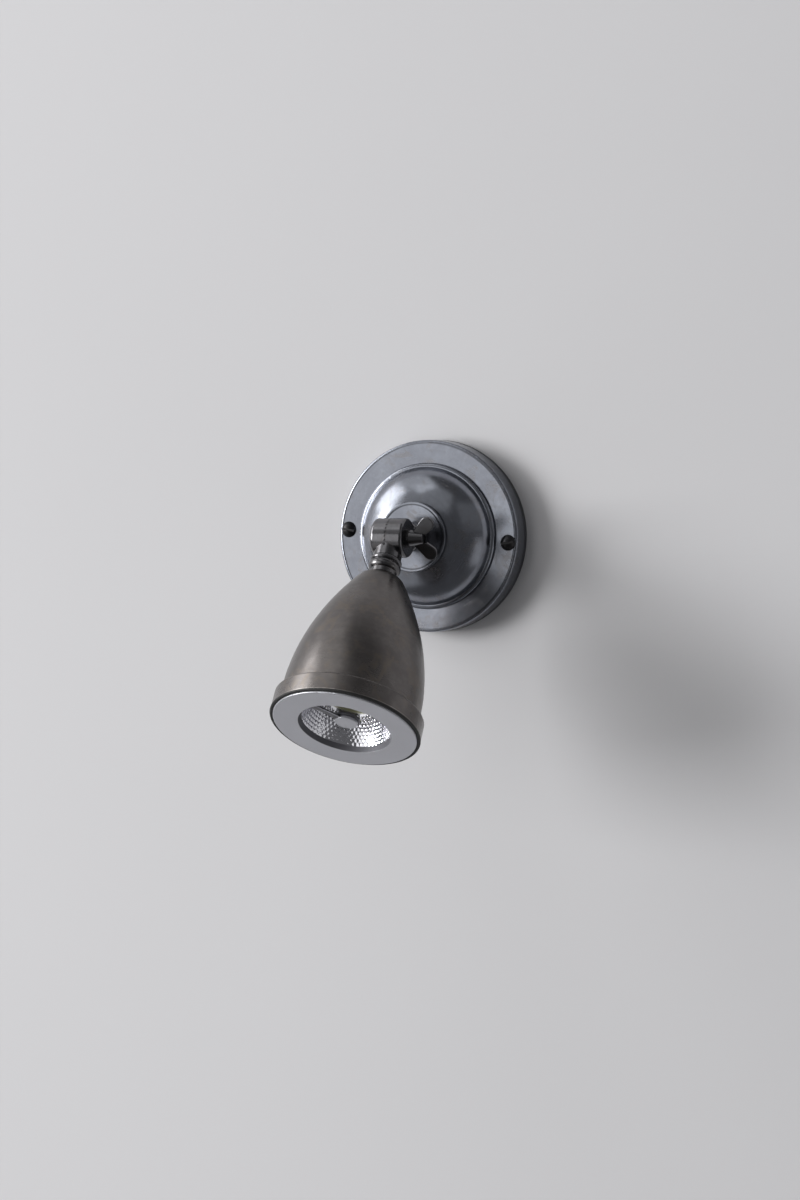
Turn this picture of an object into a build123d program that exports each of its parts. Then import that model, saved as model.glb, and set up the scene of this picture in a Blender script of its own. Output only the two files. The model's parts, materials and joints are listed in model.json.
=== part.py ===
"""Pivoting spotlight wall light: a domed round wall plate, a toothed knuckle with a wing nut, and a bell
shade that holds a 50 mm reflector lamp.

Millimetres. +Z is up, the wall is the plane Y = 0, and the light stands out of it towards -Y. The origin
is the centre of the plate's back face. Wall parts are drawn with their own +Z out of the wall, and head
parts with their own origin on the pivot and +Z along the shade's axis, towards the lamp's face.
"""
from build123d import *
from math import atan2, cos, degrees, radians, sin, sqrt, tan
import os

# ---------------------------------------------------------------- drawing
cut_across = 3.0

# ---------------------------------------------------------------- wall plate
screw_rim_margin = 3.45
base_ring_depth = 2.4
base_ring_width = 7.6
plate_depth = 8.9
plate_skin = 2.4
skirt_wall = 1.8
rim_rounding = 0.9
rim_line_width = 0.4
rim_line_depth = 0.3

# ---------------------------------------------------------------- dome and cap disc
dome_flat_reach = 21.3
dome_flat_drop = 1.4
dome_wall = 1.5
foot_bead_width = 1.2
foot_bead_height = 1.7
screw_head_clearance = 1.75
cap_radius = 12.4
cap_thickness = 2.1
cap_bead_width = 0.9
cap_line_width = 0.5
cap_line_depth = 0.45

# ---------------------------------------------------------------- fixing screws
screw_spacing = 60.3
screw_line_turn = 3.6
screw_thread_radius = 1.75
screw_shank_radius = 1.5
screw_hole_gap = 0.25
screw_boss_radius = 3.1
screw_reach_in_wall = 12.0
screw_head_radius = 2.8
screw_head_height = 1.9
screw_slot_width = 0.8
screw_slot_depth = 1.0
left_slot_turn = -13.5
right_slot_turn = 9.6

# ---------------------------------------------------------------- knuckle
pivot_reach = 41.2
rest_tilt = 32.2
drum_radius = 6.8
drum_width = 6.0
drum_cavity_radius = 4.7
drum_end_wall = 1.9
seam_gap = 0.06
seam_relief = 0.35
left_drum_rounding = 1.7
right_drum_rounding = 0.9
tooth_count = 30
tooth_depth = 0.35
stalk_radius = 4.9
neck_bead_start = 8.8
neck_bead_width = 1.7
neck_bead_height = 0.6
collar_start = 10.6
collar_middle = 11.8
collar_end = 13.7
collar_radius = 5.65
waist_radius = 4.65
head_neck_length = 15.3

# ---------------------------------------------------------------- hollow threaded tubes and their nuts
nipple_radius = 4.0
nipple_bore_radius = 2.8
thread_gap = 0.02
nipple_grip = 5.0
washer_thickness = 0.8
washer_radius = 5.4
washer_tooth_count = 10
washer_tooth_depth = 0.8
locknut_thickness = 2.6
stem_locknut_across_flats = 12.0
shade_locknut_across_flats = 9.8
nipple_overhang = 1.0

# ---------------------------------------------------------------- pivot bolt, washer and wing nut
bolt_radius = 1.5
bolt_running_gap = 0.08
bolt_head_radius = 2.7
bolt_head_height = 1.0
clamp_washer_radius = 3.4
clamp_washer_thickness = 1.0
clamp_gap = 0.03
hub_base_radius = 2.9
hub_end_radius = 2.0
hub_length = 4.9
wing_turn = 18.0
wing_thickness = 1.3
wing_lobe_radius = 2.55
wing_lobe_reach = 5.2
wing_lobe_offset = 6.6
wing_root_radius = 1.9
wing_root_reach = 1.5
wing_root_offset = 2.6
bolt_end_recess = 0.4
hub_rounding = 0.16
wing_rounding = 0.32

# ---------------------------------------------------------------- shade
shade_top_radius = 4.9
shoulder_length = 2.7
shoulder_lead = 1.2
bell_curve_lead = 0.5
bell_curve_start_radius = 6.1
bell_radius = 24.0
bell_length = 51.1
shade_wall = 1.2
shade_top_wall = 1.5
bell_foot_length = 2.0
band_length = 6.4
band_radius = 26.0
band_rounding = 0.5
lamp_seat_depth = 4.7
band_bore_radius = 24.6

# ---------------------------------------------------------------- lamp
lamp_face_radius = 25.0
lamp_face_reach = 1.25
face_flange_thickness = 0.6
face_flange_rounding = 0.4
face_ring_thickness = 2.2
rubber_ring_radius = 26.1
rubber_ring_bore_radius = 24.4
aperture_radius = 16.2
reflector_mouth_radius = 15.4
reflector_mouth_depth = 1.8
reflector_depth = 12.0
reflector_wall = 0.8
reflector_floor_radius = 3.0
reflector_knee_radius = 13.5
lamp_rim_radius = 24.3
lamp_waist_radius = 11.0
lamp_wall = 1.5
lamp_base_radius = 8.8
lamp_base_length = 5.0
lamp_running_gap = 0.3
lamp_turning_gap = 0.08
lamp_shoulder_gap = 0.9
pin_spacing = 10.0
pin_head_radius = 2.4
pin_stem_radius = 1.5
pin_length = 6.6
pin_head_length = 2.2
lamp_twist = 20.0
bridge_disc_radius = 3.9
bridge_disc_depth = 2.0
bridge_disc_thickness = 1.0
bridge_collar_radius = 4.7
bridge_collar_thickness = 1.4
bridge_arm_width = 3.6
bridge_arm_turn = 131.0
bridge_arm_top_depth = 0.6
chip_radius = 2.7
chip_thickness = 0.5
board_clearance = 3.35
board_width = 13.0
board_thickness = 1.2

# ---------------------------------------------------------------- lampholder
holder_length = 8.6
holder_top_radius = 7.9
holder_foot_radius = 10.6
holder_bore_radius = 3.0
holder_slot_gap = 0.25
holder_slot_spare_turn = 1.5
holder_plate_radius = 7.2
holder_plate_thickness = 1.0
holder_plate_clearance = 0.7
holder_screw_radius = 1.0
holder_screw_head_radius = 1.9
holder_screw_head_height = 1.3
holder_screw_offset = 5.6
contact_thickness = 0.7
contact_width = 1.4

# ---------------------------------------------------------------- terminals and leads
lead_radius = 0.7
lead_side_step = 1.3
lead_half_spacing = 0.85
lead_bend = 2.2
lead_end_reach = 3.0
lead_slope = 40.0
pole_spacing = 6.0
block_width = 19.0
block_height = 8.4
block_depth = 7.2
block_corner_gap = 1.0
barrel_radius = 1.9
barrel_bore_radius = 1.1
terminal_screw_radius = 1.0
terminal_screw_inset = 1.9
bracket_thickness = 1.0
bracket_width = 12.0
bracket_ring_radius = 8.4
block_screw_radius = 1.1
block_screw_head_radius = 2.0
block_screw_head_height = 1.2
fit_gap = 0.05
earth_tag_thickness = 0.7
earth_tag_radius = 6.4
earth_tag_tail = 11.8
earth_tag_tail_width = 3.0

# ---------------------------------------------------------------- places worked out from the sizes above
plate_radius = screw_spacing / 2 + screw_rim_margin
base_ring_bore_radius = plate_radius - base_ring_width
foot_bead_radius = screw_spacing / 2 - screw_head_radius - screw_head_clearance
dome_radius = foot_bead_radius - foot_bead_width
dome_crown = dome_flat_reach - plate_depth + dome_flat_drop
stem_length = pivot_reach - dome_flat_reach - cap_thickness
drum_outer_x = seam_gap / 2 + drum_width
bell_full_at = head_neck_length - bell_curve_lead + bell_length
bell_curve = (1 - bell_curve_start_radius / bell_radius) / bell_length**2
band_start = bell_full_at + bell_foot_length
band_end = band_start + band_length
lamp_seat_at = band_end - lamp_seat_depth
lamp_face_at = band_end + lamp_face_reach
reflector_mouth_at = lamp_face_at - reflector_mouth_depth
flange_back_at = lamp_face_at - face_flange_thickness
bracket_ring_at = dome_flat_reach - dome_wall - washer_thickness
earth_tag_at = bracket_ring_at - bracket_thickness
stem_locknut_at = earth_tag_at - earth_tag_thickness
block_corner_reach = dome_radius - dome_wall - block_corner_gap
block_drop = sqrt(block_corner_reach**2 - (block_width / 2) ** 2) - block_height
stem_nipple_foot = stem_locknut_at - locknut_thickness - nipple_overhang
shade_washer_at = head_neck_length + shade_top_wall
shade_locknut_at = shade_washer_at + washer_thickness
holder_plate_at = shade_locknut_at + locknut_thickness + holder_plate_clearance
holder_top_at = holder_plate_at + holder_plate_thickness
holder_face_at = holder_top_at + holder_length
lamp_base_at = holder_face_at + fit_gap
wing_nut_at = drum_outer_x + clamp_gap + clamp_washer_thickness + clamp_gap
bolt_end_at = wing_nut_at + hub_length - bolt_end_recess

on_wall = Rot(X=90)
on_stem = Pos(0, -pivot_reach, 0) * Rot(X=-90)
on_pivot = Pos(0, -pivot_reach, 0)
on_head = Pos(0, -pivot_reach, 0) * Rot(X=180 - rest_tilt)
along_x = Rot(Y=90)


# ---------------------------------------------------------------- shared shapes
def turned(profile):
    """Solid turned about Z from a closed outline of edges in the XZ plane."""
    return revolve(make_face(profile), axis=Axis.Z)


def lathe(*points):
    """Solid turned about Z from (radius, height) corners."""
    return turned(Polyline(*[(r, 0, z) for r, z in points], close=True))


def rod(radius, start, end):
    """Cylinder along Z from start to end."""
    return Pos(0, 0, (start + end) / 2) * Cylinder(radius, end - start)


def tube(radius, bore, start, end):
    return rod(radius, start, end) - rod(bore, start, end)


def hexagon_nut(across_flats, bore, start, thickness):
    blank = extrude(RegularPolygon(across_flats / 2, 6, major_radius=False), thickness)
    return Pos(0, 0, start) * blank - rod(bore, start, start + thickness)


def toothed_washer(start):
    """Lock washer with teeth cut round its edge."""
    body = tube(washer_radius, nipple_radius + fit_gap, start, start + washer_thickness)
    notch = Box(washer_tooth_depth * 2, washer_tooth_depth, washer_thickness * cut_across)
    for turn in range(washer_tooth_count):
        place = Rot(Z=turn * 360 / washer_tooth_count) * Pos(washer_radius, 0, start)
        body -= place * notch
    return body


def lead(*points):
    """Round insulated wire through the points, each corner an arc."""
    if len(points) == 2:
        path = Line(*points)
    else:
        path = FilletPolyline(*points, radius=lead_bend)
    end = path @ 0
    section = Plane(origin=end, z_dir=path % 0) * Circle(lead_radius)
    return sweep(section, path=path)


def write(shape, node):
    shape.label = node
    export_step(shape, f"parts/{node}.step")


# ---------------------------------------------------------------- wall plate, dome and cap disc
def screw_places():
    """Centre of each fixing screw in the wall parts' own frame, left then right."""
    turn = radians(screw_line_turn)
    reach = screw_spacing / 2
    left = (-reach * cos(turn), reach * sin(turn))
    right = (reach * cos(turn), -reach * sin(turn))
    return [left, right]


def screw_bores(start, end):
    radius = screw_thread_radius + screw_hole_gap
    return [Pos(x, y, 0) * rod(radius, start, end) for x, y in screw_places()]


def base_ring():
    ring = tube(plate_radius, base_ring_bore_radius, 0, base_ring_depth)
    for bore in screw_bores(0, base_ring_depth):
        ring -= bore
    return ring


def dome_solid(inset):
    """The dome's solid body, drawn in by inset: part of an ellipsoid with a flat top."""
    radius = dome_radius - inset
    crown = dome_crown - inset
    flat_reach = dome_flat_reach - inset
    foot = plate_depth - plate_skin
    flat_radius = radius * sqrt(1 - ((flat_reach - plate_depth) / crown) ** 2)
    arc_end = degrees(atan2((flat_reach - plate_depth) / crown, flat_radius / radius))
    wall = Line((radius, foot), (radius, plate_depth))
    curve = Pos(0, plate_depth) * EllipticalCenterArc((0, 0), radius, crown, arc_size=arc_end)
    top = Line(curve @ 1, (0, flat_reach))
    axis = Line((0, flat_reach), (0, foot))
    bottom = Line((0, foot), (radius, foot))
    face = make_face([wall, curve, top, axis, bottom])
    return revolve(Plane.XZ * face, axis=Axis.Z)


def front_cover():
    skirt = tube(plate_radius, plate_radius - skirt_wall, base_ring_depth, plate_depth)
    rim = skirt.edges().filter_by(GeomType.CIRCLE).group_by(Axis.Z)[-1].sort_by(SortBy.LENGTH)[-1]
    skirt = fillet(rim, rim_rounding)
    plate = tube(plate_radius - skirt_wall, dome_radius - dome_wall, plate_depth - plate_skin, plate_depth)
    boss = rod(screw_boss_radius, base_ring_depth, plate_depth)
    limit = rod(plate_radius - skirt_wall / 2, base_ring_depth, plate_depth)
    cover = skirt + plate
    for x, y in screw_places():
        cover += Pos(x, y, 0) * boss & limit
    bead_top = plate_depth + foot_bead_height
    bead = tube(foot_bead_radius, dome_radius - dome_wall, plate_depth - fit_gap, bead_top)
    bead_edge = bead.edges().group_by(Axis.Z)[-1].sort_by(SortBy.LENGTH)[-1]
    bead = fillet(bead_edge, foot_bead_radius - dome_radius)
    outside = dome_solid(0)
    inside = dome_solid(dome_wall)
    cover = cover + bead + outside - inside
    line_radius = plate_radius - rim_rounding - rim_line_width
    cover -= tube(line_radius + rim_line_width, line_radius, plate_depth - rim_line_depth, plate_depth)
    cover -= rod(nipple_radius + fit_gap, dome_flat_reach - dome_wall * 2, dome_flat_reach)
    for bore in screw_bores(0, plate_depth + fit_gap):
        cover -= bore
    return cover


def cap_collar():
    start = dome_flat_reach
    end = start + cap_thickness
    disc = tube(cap_radius, nipple_radius + fit_gap, start, end)
    edge = disc.edges().group_by(Axis.Z)[-1].sort_by(SortBy.LENGTH)[-1]
    disc = fillet(edge, cap_bead_width / 2)
    line_outer = cap_radius - cap_bead_width
    return disc - tube(line_outer, line_outer - cap_line_width, end - cap_line_depth, end)


def fixing_screw(slot_turn):
    """Round-head slotted screw: its head rests on the plate and its thread goes into the wall."""
    shank = rod(screw_thread_radius, -screw_reach_in_wall, 0) + rod(screw_shank_radius, 0, plate_depth)
    ball_radius = (screw_head_radius**2 + screw_head_height**2) / (2 * screw_head_height)
    ball = Pos(0, 0, plate_depth + screw_head_height - ball_radius) * Sphere(ball_radius)
    head = ball & rod(screw_head_radius, plate_depth, plate_depth + screw_head_height)
    slot_floor = plate_depth + screw_head_height - screw_slot_depth
    slot = Box(screw_head_radius * cut_across, screw_slot_width, screw_slot_depth * 2)
    return shank + head - Pos(0, 0, slot_floor + screw_slot_depth) * Rot(Z=slot_turn) * slot


def fixing_screws():
    turns = [left_slot_turn, right_slot_turn]
    return [Pos(x, y, 0) * fixing_screw(turn) for (x, y), turn in zip(screw_places(), turns)]


# ---------------------------------------------------------------- knuckle halves
def neck_outline(length):
    """Stalk, bead, groove, ball collar and waist, from the pivot's axis to the neck's end."""
    bead_middle = neck_bead_start + neck_bead_width / 2
    bead_end = neck_bead_start + neck_bead_width
    stalk = Line((stalk_radius, 0), (stalk_radius, neck_bead_start))
    bead_radius = stalk_radius + neck_bead_height
    bead_ends = [(stalk_radius, neck_bead_start), (stalk_radius, bead_end)]
    bead = ThreePointArc(bead_ends[0], (bead_radius, bead_middle), bead_ends[1])
    groove = Line((stalk_radius, bead_end), (stalk_radius, collar_start))
    waist = (waist_radius, collar_end)
    collar = ThreePointArc((stalk_radius, collar_start), (collar_radius, collar_middle), waist)
    foot = Polyline(waist, (waist_radius, length), (0, length), (0, 0), (stalk_radius, 0))
    return [stalk, bead, groove, collar, foot]


def tooth_cuts(side):
    """Radial V grooves across the half's meeting face."""
    length = drum_radius - drum_cavity_radius
    bar = Rot(X=45) * Box(length * 2, tooth_depth * sqrt(2), tooth_depth * sqrt(2))
    cuts = []
    for turn in range(tooth_count):
        place = Rot(X=(turn + 0.5) * 360 / tooth_count) * Pos(side * seam_gap / 2, 0, drum_radius)
        cuts.append(place * Rot(Y=90) * bar)
    return cuts


def knuckle(side, length, rounding):
    """Half of the pivot: a toothed drum on the given side of the seam, on a turned neck along +Z."""
    face_x = side * seam_gap / 2
    drum = Pos(face_x + side * drum_width / 2, 0, 0) * along_x * Cylinder(drum_radius, drum_width)
    outer_edge = drum.edges().filter_by(GeomType.CIRCLE).sort_by(Axis.X)[-1 if side > 0 else 0]
    drum = fillet(outer_edge, rounding)
    neck = revolve(Plane.XZ * make_face(neck_outline(length)), axis=Axis.Z)
    other_side = Pos(face_x - side * drum_radius * 2, 0, 0) * along_x * Cylinder(
        drum_radius + seam_relief, drum_radius * 4
    )
    neck -= other_side
    body = drum + neck
    cavity_width = drum_width - drum_end_wall
    cavity_middle = face_x + side * cavity_width / 2
    body -= Pos(cavity_middle, 0, 0) * along_x * Cylinder(drum_cavity_radius, cavity_width)
    body -= rod(nipple_bore_radius, 0, length) & Pos(side * drum_radius, 0, 0) * Box(
        drum_radius * 2, drum_radius * 2, drum_radius * 2
    )
    body -= rod(nipple_bore_radius, drum_radius, length)
    body -= rod(nipple_radius + thread_gap, length - nipple_grip, length)
    body -= along_x * Cylinder(bolt_radius + bolt_running_gap, drum_outer_x * cut_across)
    for cut in tooth_cuts(side):
        body -= cut
    return body


def wall_knuckle():
    """Left half, with a sunk seat for the bolt's head."""
    body = knuckle(-1, stem_length, left_drum_rounding)
    seat = Pos(-drum_outer_x + bolt_head_height / 2, 0, 0) * along_x * Cylinder(
        bolt_head_radius + fit_gap, bolt_head_height
    )
    return body - seat


def head_knuckle():
    return knuckle(1, head_neck_length, right_drum_rounding)


# ---------------------------------------------------------------- pivot bolt, washer and wing nut
def pivot_bolt():
    """Bolt along X: its head is sunk in the left drum and its end shows in the wing nut."""
    shank = rod(bolt_radius, -drum_outer_x, bolt_end_at)
    head = rod(bolt_head_radius, -drum_outer_x, -drum_outer_x + bolt_head_height - fit_gap)
    return along_x * (shank + head)


def clamp_washer():
    start = drum_outer_x + clamp_gap
    return along_x * tube(
        clamp_washer_radius, bolt_radius + bolt_running_gap, start, start + clamp_washer_thickness
    )


def wing(turn):
    """One ear: the hull of a lobe and a root, drawn along Z (nut's axis) and Y (outwards)."""
    lobe = Pos(wing_lobe_offset, wing_lobe_reach) * Circle(wing_lobe_radius)
    root = Pos(wing_root_offset, wing_root_reach) * Circle(wing_root_radius)
    outline = make_hull(lobe.edges() + root.edges())
    ear = extrude(outline, wing_thickness / 2, both=True)
    edges = ear.edges().filter_by(lambda e: abs(e.center().Z) > wing_thickness / 2 - fit_gap)
    ear = fillet(edges, wing_rounding)
    return Rot(X=turn) * ear


def wing_nut():
    """Wing nut along X; its ears lean with the turn it was left at."""
    hub = lathe(
        (bolt_radius + bolt_running_gap, 0),
        (hub_base_radius, 0),
        (hub_end_radius, hub_length),
        (bolt_radius + bolt_running_gap, hub_length),
    )
    hub_edge = hub.edges().group_by(Axis.Z)[-1].sort_by(SortBy.LENGTH)[-1]
    hub = fillet(hub_edge, hub_rounding)
    bore = along_x * Cylinder(bolt_radius + bolt_running_gap, hub_length * 4)
    ears = wing(90 + wing_turn) + wing(270 + wing_turn)
    return Pos(wing_nut_at, 0, 0) * (along_x * hub + ears - bore)


# ---------------------------------------------------------------- wall side fittings
def stem_nipple():
    top = pivot_reach - stem_length + nipple_grip
    return tube(nipple_radius, nipple_bore_radius, stem_nipple_foot, top)


def stem_lock_washer():
    return toothed_washer(bracket_ring_at)


def stem_locknut():
    start = stem_locknut_at - locknut_thickness
    return hexagon_nut(stem_locknut_across_flats, nipple_radius + thread_gap, start, locknut_thickness)


def bracket_foot_height():
    """Height of the bracket's foot over the wall: its riser is as long as the block is deep."""
    return bracket_ring_at - bracket_thickness - block_depth


def terminal_bracket():
    """Ring under the lock washer, a riser towards the wall and a foot that carries the block."""
    ring_start = bracket_ring_at - bracket_thickness
    ring = tube(bracket_ring_radius, nipple_radius + fit_gap, ring_start, bracket_ring_at)
    riser_y = -block_drop + bracket_thickness / 2
    foot_top = bracket_foot_height()
    riser_span = bracket_ring_at - foot_top + bracket_thickness
    arm = Pos(0, riser_y / 2 - nipple_radius, ring_start + bracket_thickness / 2) * Box(
        bracket_width, block_drop - nipple_radius * 2, bracket_thickness
    )
    riser = Pos(0, riser_y, foot_top - bracket_thickness + riser_span / 2) * Box(
        bracket_width, bracket_thickness, riser_span
    )
    foot = Pos(0, -block_drop - block_height / 2, foot_top - bracket_thickness / 2) * Box(
        bracket_width, block_height, bracket_thickness
    )
    body = ring + arm + riser + foot
    screw_y = -block_drop - block_height / 2
    return body - Pos(pole_spacing / 2, screw_y, 0) * rod(
        block_screw_radius + thread_gap, foot_top - bracket_thickness * 2, foot_top + bracket_thickness
    )


def earth_tag():
    ring = tube(earth_tag_radius, nipple_radius + fit_gap, stem_locknut_at, earth_tag_at)
    tail_start = (earth_tag_radius + nipple_radius) / 2
    tail_length = earth_tag_tail - tail_start
    middle = (stem_locknut_at + earth_tag_at) / 2
    tail = Box(tail_length, earth_tag_tail_width, earth_tag_thickness)
    return ring + Pos(tail_start + tail_length / 2, 0, middle) * tail


def pole_xs():
    return [-pole_spacing, 0, pole_spacing]


def block_top():
    return bracket_foot_height() - bracket_thickness - fit_gap


def barrel_axis_height():
    return block_top() - block_depth / 2


def terminal_barrel(x):
    """Brass tube along Y with a threaded hole for each of its two screws."""
    height = barrel_axis_height()
    length = block_height - fit_gap * 2
    middle = -block_drop - block_height / 2
    lay = Pos(x, middle, height) * Rot(X=90)
    body = lay * (Cylinder(barrel_radius, length) - Cylinder(barrel_bore_radius, length))
    for y in terminal_screw_ys():
        body -= Pos(x, y, 0) * rod(terminal_screw_radius + thread_gap, height - barrel_radius * 2, height)
    return body


def terminal_screw_ys():
    return [-block_drop - terminal_screw_inset, -block_drop - block_height + terminal_screw_inset]


def terminal_barrels():
    return [terminal_barrel(x) for x in pole_xs()]


def terminal_block():
    top = block_top()
    middle_y = -block_drop - block_height / 2
    foot = top - block_depth
    screw_bore = rod(terminal_screw_radius + thread_gap, foot, barrel_axis_height())
    body = Pos(0, middle_y, top - block_depth / 2) * Box(block_width, block_height, block_depth)
    for x in pole_xs():
        body -= Pos(x, middle_y, barrel_axis_height()) * Rot(X=90) * Cylinder(
            barrel_radius + thread_gap, block_height
        )
        for y in terminal_screw_ys():
            body -= Pos(x, y, 0) * screw_bore
    body -= Pos(pole_spacing / 2, middle_y, 0) * rod(block_screw_radius + thread_gap, foot, top)
    seat = rod(block_screw_head_radius + fit_gap, foot, foot + block_screw_head_height)
    return body - Pos(pole_spacing / 2, middle_y, 0) * seat


def terminal_screw(x, y):
    """Slotted grub screw from the wall side of the block down to the wire in the barrel."""
    foot = block_top() - block_depth + fit_gap
    body = Pos(x, y, 0) * rod(terminal_screw_radius, foot, barrel_axis_height() - lead_radius - fit_gap)
    slot = Box(terminal_screw_radius * cut_across, terminal_screw_radius / 2, terminal_screw_radius)
    return body - Pos(x, y, foot) * slot


def terminal_screws():
    return [terminal_screw(x, y) for x in pole_xs() for y in terminal_screw_ys()]


def block_screw():
    """Pan-head screw through the block into the bracket's foot."""
    start = block_top() - block_depth + fit_gap
    shank = rod(block_screw_radius, start, bracket_foot_height())
    head = rod(block_screw_head_radius, start, start + block_screw_head_height - fit_gap * 2)
    slot = Box(block_screw_head_radius * cut_across, block_screw_radius / 2, block_screw_radius)
    place = Pos(pole_spacing / 2, -block_drop - block_height / 2, 0)
    return place * (shank + head - Pos(0, 0, start) * slot)


def supply_lead(side, row):
    """Live or neutral: from its barrel, round into the hollow tube and out to the pivot's cavity."""
    height = barrel_axis_height()
    pole = side * pole_spacing
    in_barrel = -block_drop - terminal_screw_inset * 2
    rise = (pole_spacing - lead_side_step) * tan(radians(lead_slope))
    return lead(
        (pole, in_barrel, height),
        (pole, row * lead_half_spacing, height),
        (-lead_side_step, row * lead_half_spacing, height + rise),
        (-lead_side_step, row * lead_half_spacing, pivot_reach - lead_end_reach),
    )


def earth_lead():
    height = barrel_axis_height()
    tag_x = earth_tag_tail - earth_tag_tail_width / 2
    return lead(
        (0, -block_drop - terminal_screw_inset * 2, height),
        (0, -block_drop + lead_bend * 2, height),
        (tag_x, 0, (height + stem_locknut_at) / 2),
        (tag_x, 0, stem_locknut_at - fit_gap),
    )


# ---------------------------------------------------------------- shade
def bell_radius_at(height):
    """Outer radius of the bell: a parabola that ends at its full width."""
    return bell_radius * (1 - bell_curve * (bell_full_at - height) ** 2)


def bell_slope_at(height):
    """How fast the bell's radius grows with the distance from the pivot."""
    return 2 * bell_radius * bell_curve * (bell_full_at - height)


def bell_solid(inset, start, end):
    """The bell's solid body, drawn in by inset all round, with a straight foot to end."""
    top_radius = bell_radius_at(start) - inset
    full = bell_radius - inset
    knee = start + (full - top_radius) / bell_slope_at(start)
    curve = Bezier((top_radius, start), (full, knee), (full, bell_full_at))
    foot = Polyline((full, bell_full_at), (full, end), (0, end), (0, start), (top_radius, start))
    return revolve(Plane.XZ * make_face([curve, foot]), axis=Axis.Z)


def shoulder_solid(end):
    """The steep shoulder round the shade's top, which runs into the bell's curve at end."""
    radius = bell_radius_at(end)
    knee = (radius - bell_slope_at(end) * shoulder_lead, end - shoulder_lead)
    top = (shade_top_radius, head_neck_length)
    curve = Bezier(top, knee, (radius, end))
    foot = Polyline((radius, end), (0, end), (0, head_neck_length), top)
    return revolve(Plane.XZ * make_face([curve, foot]), axis=Axis.Z)


def shade():
    shoulder_end = head_neck_length + shoulder_length
    outside = shoulder_solid(shoulder_end) + bell_solid(0, shoulder_end, band_end)
    band = rod(band_radius, band_start, band_end)
    top_edge = band.edges().filter_by(GeomType.CIRCLE).sort_by(Axis.Z)[0]
    band = fillet(top_edge, band_rounding)
    inside = bell_solid(shade_wall, head_neck_length + shade_top_wall, band_end)
    body = outside + band - inside
    body -= rod(band_bore_radius, lamp_seat_at, band_end)
    return body - rod(nipple_radius + fit_gap, head_neck_length, head_neck_length + shade_top_wall)


# ---------------------------------------------------------------- head fittings
def neck_nipple():
    return tube(nipple_radius, nipple_bore_radius, head_neck_length - nipple_grip, holder_top_at - fit_gap)


def shade_lock_washer():
    return toothed_washer(shade_washer_at)


def shade_locknut():
    bore = nipple_radius + thread_gap
    return hexagon_nut(shade_locknut_across_flats, bore, shade_locknut_at, locknut_thickness)


def holder_screw_places():
    return [Pos(0, -holder_screw_offset, 0), Pos(0, holder_screw_offset, 0)]


def holder_bracket():
    """Plate threaded on the tube's end, with a threaded hole for each holder screw."""
    body = tube(holder_plate_radius, nipple_radius + thread_gap, holder_plate_at, holder_top_at - fit_gap)
    for place in holder_screw_places():
        body -= place * rod(holder_screw_radius + thread_gap, holder_plate_at, holder_top_at)
    return body


def holder_slots():
    """Curved sockets that let the lamp's pins turn by its twist."""
    floor = holder_face_at - pin_length - holder_slot_gap
    sweep_angle = lamp_twist + 2 * holder_slot_spare_turn
    slots = []
    for start_turn in (0, 180):
        arc = CenterArc((0, 0), pin_spacing / 2, start_turn - holder_slot_spare_turn, sweep_angle)
        face = SlotArc(arc, (pin_head_radius + holder_slot_gap) * 2)
        slots.append(Pos(0, 0, floor) * extrude(face, pin_length + holder_slot_gap * 2))
    return slots


def lampholder():
    body = lathe((0, holder_top_at), (holder_top_radius, holder_top_at), (holder_foot_radius, holder_face_at),
                 (0, holder_face_at))
    body -= rod(holder_bore_radius, holder_top_at, holder_face_at)
    for cut in holder_slots() + contact_strips(fit_gap):
        body -= cut
    head_seat = holder_face_at - holder_screw_head_height
    for place in holder_screw_places():
        body -= place * rod(holder_screw_radius + fit_gap, holder_top_at, holder_face_at)
        body -= place * rod(holder_screw_head_radius + fit_gap, head_seat, holder_face_at)
    return body


def holder_screws():
    """Two screws through the holder into its bracket."""
    start = holder_plate_at + fit_gap
    seat = holder_face_at - holder_screw_head_height
    shank = rod(holder_screw_radius, start, seat + fit_gap)
    head = rod(holder_screw_head_radius, seat + fit_gap, holder_face_at - fit_gap)
    slot = Box(holder_screw_head_radius * cut_across, holder_screw_radius / 2, holder_screw_head_height)
    screw = shank + head - Pos(0, 0, holder_face_at) * slot
    return [place * screw for place in holder_screw_places()]


def contact_level():
    return holder_face_at - pin_length - holder_slot_gap - contact_thickness


def contact_strips(gap):
    """Strips from each lead's end to the top of its pin's socket, grown by a gap."""
    reach = pin_spacing / 2 + pin_stem_radius
    live_start = lead_side_step + lead_radius + fit_gap
    neutral_end = lead_side_step - lead_radius - fit_gap
    middle = contact_level() + contact_thickness / 2
    grown = [contact_width + gap * 2, contact_thickness + gap * 2]
    live = Box(reach - live_start + gap * 2, *grown)
    neutral = Box(reach + neutral_end + gap * 2, *grown)
    return [
        Pos((reach + live_start) / 2, -lead_half_spacing, middle) * live,
        Pos((neutral_end - reach) / 2, lead_half_spacing, middle) * neutral,
    ]


def holder_contacts():
    return contact_strips(0)


def lamp_lead(row):
    """From the pivot's cavity straight down the tube to its contact in the holder."""
    x = lead_side_step
    y = row * lead_half_spacing
    return lead((x, y, lead_end_reach), (x, y, contact_level() + contact_thickness))


# ---------------------------------------------------------------- lamp
def aperture_space(gap, start):
    """The tapered opening in the face ring, drawn in by a gap and carried back to start."""
    mouth = reflector_mouth_radius - gap
    return lathe(
        (0, start),
        (mouth, start),
        (mouth, reflector_mouth_at),
        (aperture_radius - gap, lamp_face_at),
        (0, lamp_face_at),
    )


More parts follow.
